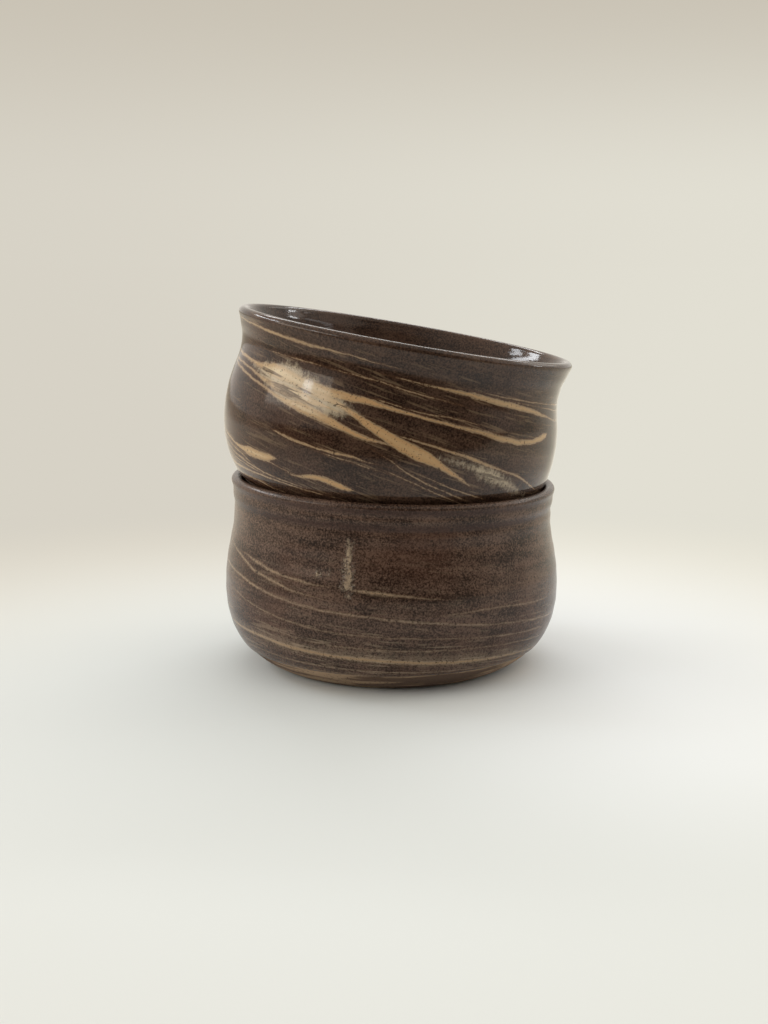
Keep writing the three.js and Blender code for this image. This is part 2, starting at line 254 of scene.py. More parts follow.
LOWER_STREAKS = [
    [(-80, 43.8, 0), (-65, 41.6, 0.45), (-59, 40.3, 0.55), (-51, 38.5, 0.55), (-41, 36.9, 0.5),
     (-34, 35.7, 0.4), (-28, 34.9, 0.2), (-20, 34.2, 0)],
    [(-64, 42.6, 0), (-56, 41.7, 0.4), (-50, 40.9, 0.55), (-43, 39.8, 0.6), (-37, 39.1, 0.4),
     (-32, 38.7, 0.5), (-26, 38, 0.3), (-20, 37.6, 0)],
    [(-104, 38.8, 0), (-90, 38, 0.3), (-73, 36.8, 0.45), (-62, 36, 0.45), (-52, 34.6, 0.5),
     (-42, 33.3, 0.45), (-35, 32.5, 0.4), (-27, 31.7, 0.4), (-18, 31, 0.4), (-11, 30.5, 0.4), (-4, 30, 0.4),
     (6, 29.1, 0.35), (16, 28.3, 0.4), (25, 27.5, 0.3), (36, 26.4, 0.25), (50, 25.3, 0.3), (64, 24, 0.4),
     (78, 23.4, 0.3), (96, 23, 0)],
    [(-15, 37.4, 0), (-10, 37.2, 0.5), (-5, 36.9, 0.65), (1, 36.4, 0.55), (8, 35.8, 0.3), (14, 35.2, 0.2),
     (21, 34.8, 0)],
    [(14, 30.4, 0), (20, 30.7, 0.2), (27, 31, 0.3), (36, 31.1, 0.3), (50, 30.3, 0.35), (62, 29.8, 0.25),
     (76, 29.6, 0)],
    [(-92, 22, 0), (-78, 21.3, 0.4), (-67, 20.7, 0.6), (-56, 20.5, 0.7), (-47, 20.2, 0.7), (-39, 19.5, 0.8),
     (-30, 18.9, 0.85), (-20, 18.4, 0.85), (-10, 17.9, 0.9), (3, 17.2, 0.9), (16, 16.3, 0.9),
     (27, 15.7, 0.8), (39, 15.3, 0.7), (51, 14.7, 0.6), (60, 13.7, 0.55), (70, 12.4, 0.45), (84, 11.2, 0.3),
     (100, 10.6, 0)],
    [(-72, 32, 0), (-60, 30.2, 0.25), (-48, 28.6, 0.3), (-36, 27, 0.3), (-24, 25.8, 0.25), (0, 24.7, 0.25),
     (25, 23.4, 0.2), (50, 21.8, 0.25), (66, 20.6, 0)],
    [(-44, 23.2, 0), (-30, 22.2, 0.2), (-12, 21.3, 0.3), (10, 20.6, 0.3), (30, 20, 0.2), (50, 19, 0.2),
     (62, 18.4, 0)],
    [(-66, 16, 0), (-50, 15.2, 0.3), (-34, 14.5, 0.35), (-12, 13.8, 0.3), (10, 13, 0.35), (30, 12.6, 0.3),
     (50, 11.8, 0.25), (64, 11.2, 0)],
    [(-56, 12.4, 0), (-40, 12.2, 0.3), (-16, 11.8, 0.3), (10, 11, 0.35), (34, 10.4, 0.3), (56, 10, 0)],
    # Round the back
    [(88, 37.6, 0), (104, 36.8, 0.4), (122, 35.2, 0.5), (142, 33.6, 0.5), (160, 32.8, 0.3), (176, 32.4, 0)],
    [(96, 26.4, 0), (112, 25.6, 0.4), (130, 24, 0.6), (148, 23, 0.5), (174, 22.4, 0)],
    [(80, 16.8, 0), (98, 16.2, 0.5), (120, 15, 0.8), (140, 14.4, 0.7), (160, 14.2, 0.4), (178, 14, 0)],
    [(110, 42.8, 0), (128, 42.2, 0.3), (146, 41, 0.5), (160, 40.4, 0.3), (176, 40.2, 0)],
    [(-178, 37, 0), (-160, 36.2, 0.4), (-142, 34.6, 0.5), (-124, 33.6, 0.4), (-100, 33, 0)],
    [(-178, 27.4, 0), (-160, 27, 0.5), (-138, 25.8, 0.7), (-118, 25.2, 0.5), (-96, 25, 0)],
    [(-178, 18, 0), (-156, 17.6, 0.5), (-134, 17, 0.6), (-112, 17.4, 0.4), (-94, 18.2, 0)],
]
LOWER_CLOUDS = [
    [(-90, 24, 0), (-70, 22, 0.8), (-44, 20.4, 1.6), (-16, 19, 1.8), (16, 17.4, 1.8), (44, 16, 1.4),
     (80, 13.4, 0)],
]

# Painted shade: dark lines in the two dips under the rim, where shade falls
LOWER_DIP_SHADES = [
    [(-180, 58.8, 0.7), (-90, 59.1, 0.6), (-20, 58.9, 0.8), (2, 58.9, 0.9), (60, 58.7, 0.8),
     (120, 58.8, 0.5), (180, 58.8, 0.7)],
    [(-180, 54.6, 0.8), (-90, 54.8, 0.4), (-40, 54.6, 0.8), (2, 54.4, 1.1), (50, 54.4, 0.9),
     (110, 54.6, 0.6), (180, 54.6, 0.8)],
]
# Runs and beads of thicker glaze, as (degrees, lowest and highest millimetres up, half the width).
# Their relief is real, and their paler colour is a painted highlight.
LOWER_RUNS = [
    (-14.2, 38.4, 50.0, 1.9),
    (-24.5, 40.8, 41.4, 0.8),
    (-20.5, 41.1, 41.7, 0.7),
    (-13.6, 35.4, 35.9, 0.8),
]


# Shapes

def bend(start, leaving, start_pull, end, arriving, end_pull):
    """The curve P(t) = (1-t)^3 S + 3(1-t)^2 t A + 3(1-t) t^2 B + t^3 E for t from 0 to 1. A lies ahead of
    the start S, and B behind the end E, each by its pull times their distance."""
    start, leaving, end, arriving = (np.asarray(value, float) for value in (start, leaving, end, arriving))
    distance = np.linalg.norm(end - start)
    ahead = start + start_pull * distance * leaving
    behind = end - end_pull * distance * arriving

    def points(t):
        t = np.asarray(t, float)[:, None]
        return (1 - t) ** 3 * start + 3 * (1 - t) ** 2 * t * ahead + 3 * (1 - t) * t**2 * behind + t**3 * end

    return points


def rounded(points, radius):
    """An open outline whose inner corners are rounded as Q(t) = (1-t)^2 P + 2(1-t) t C + t^2 N, where C is
    the corner, and P and N lie radius before and after it."""
    t = np.linspace(0, 1, 5)[:, None]
    parts = [points[:1]]
    for before, corner, after in zip(points, points[1:], points[2:]):
        arriving = corner + radius * (before - corner) / np.linalg.norm(before - corner)
        leaving = corner + radius * (after - corner) / np.linalg.norm(after - corner)
        parts.append((1 - t) ** 2 * arriving + 2 * (1 - t) * t * corner + t**2 * leaving)
    parts.append(points[-1:])
    return np.vstack(parts)


def clay_outline(cup, pair, steps):
    """The clay's outline as points of (radius, height): the bare foot from the middle of the underside
    up to the glaze line, and the glazed face from there over the rim and down to the floor's middle."""
    up, down, inward = (0, 1), (0, -1), (-1, 0)
    flared = np.array([math.sin(cup.flare), math.cos(cup.flare)])
    hollow_radius = cup.foot_radius - pair.foot_ring
    rim_rounding = pair.rim_wall / 2
    rim_centre = np.array([cup.rim_radius - rim_rounding, cup.height - rim_rounding])
    turn = np.linspace(-cup.flare, math.pi - cup.flare, steps)
    rim = rim_centre + rim_rounding * np.column_stack([np.cos(turn), np.sin(turn)])
    foot = (cup.foot_radius, 0)
    belly = (cup.belly_radius, cup.belly_height)
    neck = (cup.neck_radius, cup.neck_height)
    neck_inside = (cup.neck_radius - pair.rim_wall, cup.neck_height)
    belly_inside = (cup.belly_radius - pair.belly_wall, cup.belly_height)
    floor_edge = (pair.floor_radius, pair.floor_thickness)

    rising = (math.cos(cup.foot_rise), math.sin(cup.foot_rise))
    below_belly = bend(foot, rising, 0.31, belly, up, 0.49)
    fine = np.linspace(0, 1, 400)
    glaze_line = np.interp(pair.glaze_line, below_belly(fine)[:, 1], fine)
    along = np.linspace(0, 1, steps)

    ring = np.array([
        (0, pair.foot_hollow),
        (hollow_radius - pair.foot_hollow, pair.foot_hollow),
        (hollow_radius, 0),
        foot,
        below_belly([glaze_line / 4])[0],
    ])
    bare_wall = below_belly(np.linspace(glaze_line / 4, glaze_line, steps // 2))
    bare = np.vstack([rounded(ring, pair.foot_rounding), bare_wall[1:]])
    to_the_middle = np.linspace(pair.floor_radius, 0, steps // 2)
    glazed = np.vstack([
        below_belly(np.linspace(glaze_line, 1, steps)),
        bend(belly, up, 0.5, neck, up, 0.3)(along)[1:],
        bend(neck, up, 0.4, rim[0], flared, 0.3)(along)[1:],
        rim[1:],
        bend(rim[-1], -flared, 0.3, neck_inside, down, 0.4)(along)[1:],
        bend(neck_inside, down, 0.3, belly_inside, down, 0.5)(along)[1:],
        bend(belly_inside, down, 0.5, floor_edge, inward, 0.5)(along)[1:],
        np.column_stack([to_the_middle, 0 * to_the_middle + pair.floor_thickness])[1:],
    ])
    return bare, glazed


def distance_along(outline, start=0.0):
    """How far each point lies along the outline, counted from start at its first point."""
    return start + np.concatenate([[0], np.cumsum(np.linalg.norm(np.diff(outline, axis=0), axis=1))])


def path_to_glaze_line(cup, pair):
    """Distance up the wall from the foot's edge to the glaze line."""
    bare = clay_outline(cup, pair, 40)[0]
    outside = bare[np.argmax(bare[:, 0] >= cup.foot_radius - pair.foot_rounding):]
    return distance_along(outside)[-1]


def glaze_over(outline, pair):
    """The outline moved out by the glaze's thickness T. Its first length R ends in a soft roll, with the
    thickness T sqrt(1 - (1 - s/R)^2) at a distance s from the edge."""
    direction = np.gradient(outline, axis=0)
    direction /= np.linalg.norm(direction, axis=1)[:, None]
    outward = np.column_stack([direction[:, 1], -direction[:, 0]])
    from_edge = np.clip(distance_along(outline) / pair.glaze_roll, 0, 1)
    thickness = pair.glaze * np.sqrt(1 - (1 - from_edge) ** 2)
    return outline + thickness[:, None] * outward


def thrown(outline, path, cup):
    """An outline turned about the cup's axis into rows of points, by (r sin a, -r cos a, z), where a is the
    angle from the front. Each level tilts, shifts and widens with the square of its height. r is less by
    D (1 + cos(2 pi z / P - a)) / 2 for finger ridges of depth D that climb by P a turn, and by two dips
    R (1 - cos(2 pi (z - Z) / W)) / 2, each W high from the height Z up, with a roll between them."""
    ridge_pitch = 0.0052
    ridges_start, ridges_fade = 0.012, 0.01
    dips_start = 0.834 * cup.height
    dip_width = 0.0042
    around = np.linspace(-math.pi, math.pi, COLUMNS_AROUND + 1)
    radius, height = outline[:, :1], outline[:, 1:] + 0 * around
    clear_of_foot = np.clip((path[:, None] - ridges_start) / ridges_fade, 0, 1)
    ridges = cup.ridge_depth * (1 + np.cos(2 * math.pi * height / ridge_pitch - around)) / 2
    in_dips = np.clip((height - dips_start) / dip_width, 0, 2)
    dips = cup.roll_depth * (1 - np.cos(2 * math.pi * in_dips)) / 2
    radius = radius - np.minimum(radius, clear_of_foot * (ridges + dips))
    x, y = radius * np.sin(around), -radius * np.cos(around)
    share_up = (height / cup.height) ** 2
    tilt = math.tan(cup.rim_slope) * share_up
    return np.stack([
        x + tilt * height / 3,
        y * (1 + share_up * cup.rim_oval / cup.rim_radius),
        height - tilt * x,
    ], axis=-1)


def seated(points, pair):
    """Points of the upper cup, turned about Y by the lean and carried to its seat."""
    x, y, z = np.moveaxis(points, -1, 0)
    cosine, sine = math.cos(pair.lean), math.sin(pair.lean)
    return np.stack([pair.seat_x + x * cosine + z * sine, y, pair.seat_z - x * sine + z * cosine], axis=-1)


def placed(name, data):
    """A new object with this data, in the scene."""
    thing = bpy.data.objects.new(name, data)
    bpy.context.scene.collection.objects.link(thing)
    return thing


def turned_piece(name, rows, path):
    """A closed mesh from rows of points round an axis, of which the first and last rows are single points
    on it. Its UV map holds (turns round from the back, decimetres up the wall)."""
    columns = rows.shape[1] - 1
    inner = rows[1:-1, :-1].reshape(-1, 3)
    points = np.vstack([rows[0, :1], inner, rows[-1, :1]])
    ring, step = np.meshgrid(np.arange(len(rows) - 3), np.arange(columns), indexing="ij")
    following = (step + 1) % columns

    def corner(level, turn):
        return 1 + level * columns + turn

    def on_map(*corners):
        pairs = [np.stack([turn, 0 * turn + level], -1) for turn, level in corners]
        return np.stack(pairs, -2).reshape(-1, 2)

    quads = np.stack([
        corner(ring, step), corner(ring, following), corner(ring + 1, following), corner(ring + 1, step),
    ], axis=-1).reshape(-1, 4)
    one = np.arange(columns)
    after = (one + 1) % columns
    last_ring, last_point = len(rows) - 3, 0 * one + len(points) - 1
    first_fan = np.stack([0 * one, corner(0, after), corner(0, one)], axis=-1)
    last_fan = np.stack([corner(last_ring, one), corner(last_ring, after), last_point], axis=-1)

    turns, rise = np.arange(columns + 1) / columns, path * DECIMETRES_IN_METRE
    lower, higher = rise[ring + 1], rise[ring + 2]
    quad_map = on_map(
        (turns[step], lower), (turns[step + 1], lower), (turns[step + 1], higher), (turns[step], higher))
    left, right = turns[:-1], turns[1:]
    middle = (left + right) / 2
    first_map = on_map((middle, rise[0]), (right, rise[1]), (left, rise[1]))
    last_map = on_map((left, rise[-2]), (right, rise[-2]), (middle, rise[-1]))

    mesh = bpy.data.meshes.new(name)
    mesh.from_pydata(points.tolist(), [], quads.tolist() + first_fan.tolist() + last_fan.tolist())
    turning = mesh.uv_layers.new(name=TURNING_MAP)
    turning.uv.foreach_set("vector", np.vstack([quad_map, first_map, last_map]).astype(np.float32).ravel())
    mesh.polygons.foreach_set("use_smooth", np.ones(len(mesh.polygons), bool))
    mesh.update()
    return placed(name, mesh)


def make_cup(which, cup, pair, place, clay, glaze):
    """A cup's clay and its glaze, each in place of its node. place carries points to the row frame."""
    line_path = path_to_glaze_line(cup, pair)
    bare, hidden = clay_outline(cup, pair, 10)
    fine = clay_outline(cup, pair, 28)[1]
    bare_path = distance_along(bare, line_path - distance_along(bare)[-1])
    hidden_path = distance_along(hidden, line_path)
    fine_path = distance_along(fine, line_path)
    hidden_rows = thrown(hidden, hidden_path, cup)
    clay_rows = np.vstack([thrown(bare, bare_path, cup), hidden_rows[1:]])
    coat_rows = thrown(glaze_over(fine, pair), fine_path, cup)
    glaze_rows = np.vstack([hidden_rows[::-1], coat_rows[1:]])
    clay_path = np.concatenate([bare_path, hidden_path[1:]])
    glaze_path = np.concatenate([hidden_path[::-1], fine_path[1:]])
    body = f"{which}_cup"
    clay_piece = turned_piece(f"{body}_fired_clay", place(clay_rows), clay_path)
    glaze_piece = turned_piece(f"{body}_marbled_glaze", place(glaze_rows), glaze_path)
    for piece, material, node, slot in (
        (clay_piece, clay, f"{body}_clay", f"{which}_clay"),
        (glaze_piece, glaze, f"{body}_glaze", f"{which}_glaze"),
    ):
        piece.data.materials.append(material)
        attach(piece, body)
        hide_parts(node)


# Nodes

def put(tree, kind, **settings):
    """A new node of that kind, with its settings."""
    node = tree.nodes.new(f"ShaderNode{kind}")
    for setting, value in settings.items():
        setattr(node, setting, value)
    return node


def feed(tree, socket, value):
    """Gives a socket another node's output, or a plain number, vector or colour."""
    if isinstance(value, bpy.types.NodeSocket):
        tree.links.new(value, socket)
    else:
        socket.default_value = value


def reckon(tree, operation, *values):
    """The result of a Math node on up to three values."""
    node = put(tree, "Math", operation=operation)
    for socket, value in zip(node.inputs, values):
        feed(tree, socket, value)
    return node.outputs[0]


def product(tree, first, *others):
    """The values multiplied."""
    for value in others:
        first = reckon(tree, "MULTIPLY", first, value)
    return first


def scaled(tree, value, factor, added):
    """value times factor, plus added."""
    return reckon(tree, "MULTIPLY_ADD", value, factor, added)


def fade(tree, value, low, high, at_low=0.0, at_high=1.0):
    """A smooth step of value from at_low, where it is low, to at_high, where it is high."""
    node = put(tree, "MapRange", interpolation_type="SMOOTHSTEP")
    for socket, given in zip(node.inputs, (value, low, high, at_low, at_high)):
        feed(tree, socket, given)
    return node.outputs[0]


def blend(tree, share_of_second, first, second):
    """The first colour mixed with the second. A Mix node's colours are inputs 6 and 7 and output 2."""
    node = put(tree, "Mix", data_type="RGBA", clamp_factor=True)
    feed(tree, node.inputs["Factor"], share_of_second)
    for socket, value in ((node.inputs[6], first), (node.inputs[7], second)):
        feed(tree, socket, value if isinstance(value, bpy.types.NodeSocket) else (*value, 1))
    return node.outputs[2]


def cloudy(tree, vector, scale, detail=2.0, roughness=0.5, distortion=0.0):
    """Noise from 0 to 1 at a place."""
    node = put(tree, "TexNoise")
    names = ("Vector", "Scale", "Detail", "Roughness", "Distortion")
    for name, value in zip(names, (vector, scale, detail, roughness, distortion)):
        feed(tree, node.inputs[name], value)
    return node.outputs[0]


def uneven(tree, vector, *settings):
    """Noise from -0.5 to 0.5 at a place."""
    return reckon(tree, "SUBTRACT", cloudy(tree, vector, *settings), 0.5)


def on_the_piece(tree):
    """Where a point is on its piece, in metres."""
    return put(tree, "TexCoord").outputs["Object"]


def new_group(name, inputs, numbers, vectors=()):
    """An empty node group, with the sockets of what it is given and of what it makes. inputs are numbers
    with their defaults, and numbers and vectors are the names of what it makes."""
    group = bpy.data.node_groups.new(name, "ShaderNodeTree")
    for label, default in inputs.items():
        socket = group.interface.new_socket(name=label, in_out="INPUT", socket_type="NodeSocketFloat")
        socket.default_value = default
    for kind, labels in (("Float", numbers), ("Vector", vectors)):
        for label in labels:
            group.interface.new_socket(name=label, in_out="OUTPUT", socket_type=f"NodeSocket{kind}")
    return group, group.nodes.new("NodeGroupInput").outputs, group.nodes.new("NodeGroupOutput").inputs


def use(tree, group, **values):
    """A copy of the group in this tree, with its inputs by name, where a _ stands for a space."""
    node = put(tree, "Group")
    node.node_tree = group
    for label, value in values.items():
        feed(tree, node.inputs[label.replace("_", " ")], value)
    return node.outputs


def make_wall_place():
    """Group: where a point of the wall is, as turns round from the back and millimetres up, and a seamless
    place that runs slowly round the cup and fast up it, for lines that follow the turning."""
    group, given, made = new_group(
        "Place on the Wall", {"Reach": 3.0, "Pitch": 1.0, "Sway": 0.0, "Sway Angle": 0.0},
        ["Turns", "Height"], ["Along the Lines"])
    turning = put(group, "UVMap", uv_map=TURNING_MAP)
    parts = put(group, "SeparateXYZ")
    feed(group, parts.inputs[0], turning.outputs[0])
    turns = parts.outputs[0]
    height = product(group, parts.outputs[1], 100.0)
    around = product(group, turns, 2 * math.pi)
    sway = reckon(group, "SINE", reckon(group, "SUBTRACT", around, given["Sway Angle"]))
    swayed = scaled(group, sway, given["Sway"], height)
    lines = put(group, "CombineXYZ")
    feed(group, lines.inputs[0], product(group, reckon(group, "COSINE", around), given["Reach"]))
    feed(group, lines.inputs[1], product(group, reckon(group, "SINE", around), given["Reach"]))
    feed(group, lines.inputs[2], reckon(group, "DIVIDE", swayed, given["Pitch"]))
    feed(group, made["Turns"], turns)
    feed(group, made["Height"], height)
    feed(group, made["Along the Lines"], lines.outputs[0])
    return group


def make_specks():
    """Group: small round specks of a size in millimetres. Share is how much of the surface they cover."""
    highest, softness = 0.78, 0.07
    group, given, made = new_group("Specks", {"Size": 0.5, "Share": 0.1}, ["Mask"])
    noise = cloudy(group, on_the_piece(group), reckon(group, "DIVIDE", 1000.0, given["Size"]), 1.0, 0.4)
    edge = reckon(group, "SUBTRACT", highest, given["Share"])
    feed(group, made["Mask"], fade(group, noise, edge, reckon(group, "ADD", edge, softness)))
    return group


def make_edges():
    """Group: from the depth inside a streak in millimetres, below 0 outside it, a mask of the pale clay and
    one of the rust along its edge."""
    group, given, made = new_group(
        "Streak Edges", {"Depth": 0.0, "Softness": 0.15, "Rust Width": 0.5}, ["Pale", "Rust"])
    depth, soft = given["Depth"], given["Softness"]
    outside = product(group, soft, -1.0)
    feed(group, made["Pale"], fade(group, depth, outside, soft))
    reach = reckon(group, "SUBTRACT", outside, given["Rust Width"])
    feed(group, made["Rust"], fade(group, depth, reach, soft))
    return group


def make_glaze_skin():
    """Group: the fine unevenness of a fired glaze: a height in millimetres and a roughness."""
    group, given, made = new_group(
        "Glaze Skin", {"Grain Size": 0.8, "Grain Height": 0.01, "Roughness": 0.2, "Spread": 0.05},
        ["Height", "Roughness"])
    place = on_the_piece(group)
    fine = cloudy(group, place, reckon(group, "DIVIDE", 1000.0, given["Grain Size"]), 2.0, 0.6)
    broad = cloudy(group, place, 160.0)
    height = product(group, fine, given["Grain Height"])
    feed(group, made["Height"], scaled(group, broad, 0.03, height))
    spread = product(group, reckon(group, "SUBTRACT", broad, 0.5), given["Spread"])
    feed(group, made["Roughness"], reckon(group, "ADD", spread, given["Roughness"]))
    return group


def make_run():
    """Group: how deep a place lies inside an upright run of thick glaze in millimetres: half its width,
    less the distance from its middle line and less the taper times the height above its lowest point."""
    round_the_cup = 302.0
    taper = 1 / 14
    inputs = {"Turns": 0.0, "Height": 0.0, "At": 0.5, "Lowest": 0.0, "Highest": 1.0, "Half Width": 1.0}
    group, given, made = new_group("Run of Glaze", inputs, ["Depth"])
    height = given["Height"]
    across = product(group, reckon(group, "SUBTRACT", given["Turns"], given["At"]), round_the_cup)
    below = reckon(group, "SUBTRACT", given["Lowest"], height)
    above = reckon(group, "SUBTRACT", height, given["Highest"])
    beyond = reckon(group, "MAXIMUM", reckon(group, "MAXIMUM", below, above), 0.0)
    square = scaled(group, across, across, product(group, beyond, beyond))
    away = reckon(group, "SQRT", square)
    away = scaled(group, reckon(group, "MINIMUM", below, 0.0), -taper, away)
    feed(group, made["Depth"], reckon(group, "SUBTRACT", given["Half Width"], away))
    return group


def drawn_curve(tree, turns, points, handles):
    """A value drawn over the turns round the cup: points are (turns, value)."""
    node = put(tree, "FloatCurve")
    line = node.mapping.curves[0]
    node.mapping.use_clip = False
    for _ in points[2:]:
        line.points.new(0.5, 0.5)
    for point, (at, value) in zip(line.points, sorted(points)):
        point.location = (at, value)
        point.handle_type = handles
    node.mapping.update()
    feed(tree, node.inputs["Value"], turns)
    return node.outputs[0]


def streak_depth(tree, turns, height, streaks):
    """How deep a place lies inside the nearest streak in millimetres, or below 0 outside: the most, over the
    streaks, of the half width less the distance from the streak's middle line."""
    thinnest = 0.25
    deepest = None
    for streak in streaks:
        middles = [(0.5 + degrees / 360, up / 100) for degrees, up, _ in streak]
        halves = [(0.5 + degrees / 360, half / 10) for degrees, _, half in streak]
        middle = drawn_curve(tree, turns, middles, "AUTO")
        half = drawn_curve(tree, turns, halves, "AUTO_CLAMPED")
        away = reckon(tree, "ABSOLUTE", scaled(tree, middle, -100.0, height))
        reach = scaled(tree, half, 10.0, -thinnest)
        depth = reckon(tree, "SUBTRACT", reach, away)
        deepest = depth if deepest is None else reckon(tree, "MAXIMUM", deepest, depth)
    return deepest


def new_material(name):
    """A material with one Principled shader, its tree and the shader."""
    material = bpy.data.materials.new(name)
    material.use_nodes = True
    return material, material.node_tree, material.node_tree.nodes["Principled BSDF"]


def finish_surface(tree, shader, base, roughness, relief):
    """Gives the shader its colour, its roughness and a relief in millimetres."""
    bump = put(tree, "Bump")
    bump.inputs["Strength"].default_value = 1.0
    bump.inputs["Distance"].default_value = MM
    feed(tree, bump.inputs["Height"], relief)
    feed(tree, shader.inputs["Base Color"], base)
    feed(tree, shader.inputs["Roughness"], roughness)
    feed(tree, shader.inputs["Normal"], bump.outputs[0])


def make_marbled(look, groups, colours):
    """Marbled clay under clear glaze: two browns in fine lines, iron red in clouds, streaks of pale clay
    with rusty edges, smears of it that on the upper cup also carry a painted sheen, dark specks, painted
    shade in the dips under the rim, and runs of thick glaze painted paler as a highlight. look holds
    what differs between the cups."""
    kind = look.kind
    material, tree, shader = new_material(f"marbled_{kind}")
    dark, light, thin = (getattr(colours, f"{kind}_{tone}") for tone in ("dark", "light", "thin"))
    place = use(tree, groups["place"], Reach=1.4, Pitch=2.6, Sway=look.sway, Sway_Angle=math.pi)
    turns, height, lines = place["Turns"], place["Height"], place["Along the Lines"]
    here = on_the_piece(tree)

    # Brown clay
    line_noise = cloudy(tree, lines, 1.0, 4.0, 0.65)
    tone = scaled(tree, line_noise, look.line_tone, 0.5 - look.line_tone / 2)
    tone = scaled(tree, uneven(tree, here, 90.0, 3.0, 0.55), look.broad_tone, tone)
    tone = scaled(tree, uneven(tree, here, 1900.0, 2.0, 0.6), look.grain_tone, tone)
    brown = blend(tree, tone, dark, light)
    reddish = product(tree, fade(tree, cloudy(tree, here, 38.0, 2.0, 0.5, 0.4), 0.5, 0.72), look.red)
    brown = blend(tree, reddish, brown, colours.red)

    # Streaks, with edges that wander a little
    wander = uneven(tree, here, 160.0, 3.0, 0.6)
    ragged = uneven(tree, lines, 5.0, 3.0, 0.7)
    crumbly = uneven(tree, here, 1100.0, 3.0, 0.7)
    wandering = scaled(tree, wander, 0.9, height)
    depth = streak_depth(tree, turns, wandering, look.streaks)
    depth = scaled(tree, ragged, look.ragged, depth)
    depth = scaled(tree, crumbly, look.crumbly, depth)
    edges = use(tree, groups["edges"], Depth=depth, Softness=look.softness, Rust_Width=look.rust_width)
    upright = use(tree, groups["place"], Reach=42.0, Pitch=7.0)["Along the Lines"]
    brushed = uneven(tree, upright, 0.32, 6.0, 0.8)
    cloud_depth = streak_depth(tree, turns, wandering, look.clouds)
    cloud_depth = scaled(tree, brushed, 7.0, cloud_depth)
    cloud_depth = scaled(tree, crumbly, 4.0, cloud_depth)
    smear = fade(tree, cloud_depth, -1.4, 2.2)
    cloud = product(tree, smear, look.cloud)
    thick = fade(tree, depth, 0.1, 0.6)
    pale = blend(tree, thick, thin, colours.buff)
    pale = blend(tree, fade(tree, depth, 0.6, 1.8), pale, colours.cream)
    in_front = product(tree, fade(tree, turns, 0.41, 0.47), fade(tree, turns, 0.6, 0.54))
    golden = product(tree, thick, in_front, look.golden)
    pale = blend(tree, golden, pale, colours.gold)

    # Thin lines that follow the turning, most of them beside the streaks, where the brown is darker too
    beside = fade(tree, depth, -4.0, -0.4)
    brown = blend(tree, product(tree, beside, look.shade), brown, dark)
    where_hair = fade(tree, cloudy(tree, lines, 0.22), 0.42, 0.66, 0.0, look.stray_hair)
    low = fade(tree, height, look.hair_top, look.hair_top - 14.0, 0.3, 1.0)
    hair = fade(tree, cloudy(tree, lines, 3.4), 0.54, 0.68)
    hair = product(tree, hair, product(tree, low, reckon(tree, "MAXIMUM", beside, where_hair)))
    brown = blend(tree, product(tree, hair, look.hair), brown, thin)

    marbled = blend(tree, product(tree, edges["Rust"], look.rust), brown, colours.rust)
    # Pale smears. Over the upper cup's fan they are partly a painted sheen of the window's reflection
    marbled = blend(tree, cloud, marbled, colours.smear_and_sheen)
    marbled = blend(tree, product(tree, edges["Pale"], look.pale), marbled, pale)

    # Painted sheen: more of the pale colour over the upper cup's smear, as the window's blurred reflection
    marbled = blend(tree, product(tree, smear, look.over_smear), marbled, colours.smear_and_sheen)
    gaps = product(tree, fade(tree, cloudy(tree, lines, 1.7, 3.0, 0.55), 0.53, 0.6), smear)
    marbled = blend(tree, product(tree, gaps, look.gaps), marbled, brown)
    # Painted shade in the two dips under the lower cup's rim
    if look.pools:
        dip_shade_mask = streak_depth(tree, turns, wandering, look.pools)
        dip_shade_mask = fade(tree, dip_shade_mask, -1.0, 0.6, 0.0, 0.68)
        marbled = blend(tree, dip_shade_mask, marbled, colours.pool)

    # Specks
    large = use(tree, groups["specks"], Size=1.1, Share=look.large_specks)["Mask"]
    small = use(tree, groups["specks"], Size=0.45, Share=look.small_specks)["Mask"]
    specks = product(tree, reckon(tree, "MAXIMUM", large, small), look.speck_depth)
    marbled = blend(tree, specks, marbled, dark)

    # Runs of thick glaze: a real relief, and a painted highlight that makes them paler
    skin = use(tree, groups["skin"], Grain_Size=look.grain_size, Grain_Height=look.grain_height,
               Roughness=look.roughness, Spread=look.roughness_spread)
    relief = skin["Height"]
    for degrees, lowest, highest, half_width in look.runs:
        run = use(tree, groups["run"], Turns=turns, Height=height, At=0.5 + degrees / 360, Lowest=lowest,
                  Highest=highest, Half_Width=half_width)["Depth"]
        run = fade(tree, scaled(tree, crumbly, 6.0, run), -0.2, 1.4)
        run_highlight = product(tree, run, scaled(tree, crumbly, 1.6, 0.66))
        marbled = blend(tree, run_highlight, marbled, thin)
        relief = scaled(tree, run, 0.4, relief)
    finish_surface(tree, shader, marbled, skin["Roughness"], relief)
    shader.inputs["IOR"].default_value = GLAZE_IOR
    shader.inputs["Specular IOR Level"].default_value = look.specular
    return material


def make_bare_clay(name, groups, colours):
    """Marbled clay without glaze: dry, with both clays in bands that follow the turning."""
    material, tree, shader = new_material(name)
    place = use(tree, groups["place"], Reach=1.6, Pitch=2.4, Sway=0.8, Sway_Angle=0.6)
    here = on_the_piece(tree)
    bands = cloudy(tree, place["Along the Lines"], 1.0, 4.0, 0.6)
    clay = blend(tree, fade(tree, bands, 0.42, 0.55), colours.bare_light, colours.bare_dark)
    grain = cloudy(tree, here, 1600.0, 2.0, 0.7)
    clay = blend(tree, fade(tree, grain, 0.55, 0.75, 0.0, 0.4), clay, colours.bare_dark)
    specks = use(tree, groups["specks"], Size=0.7, Share=0.16)["Mask"]
    clay = blend(tree, product(tree, specks, 0.6), clay, colours.satin_dark)
    finish_surface(tree, shader, clay, 0.85, product(tree, grain, 0.05))
    return material


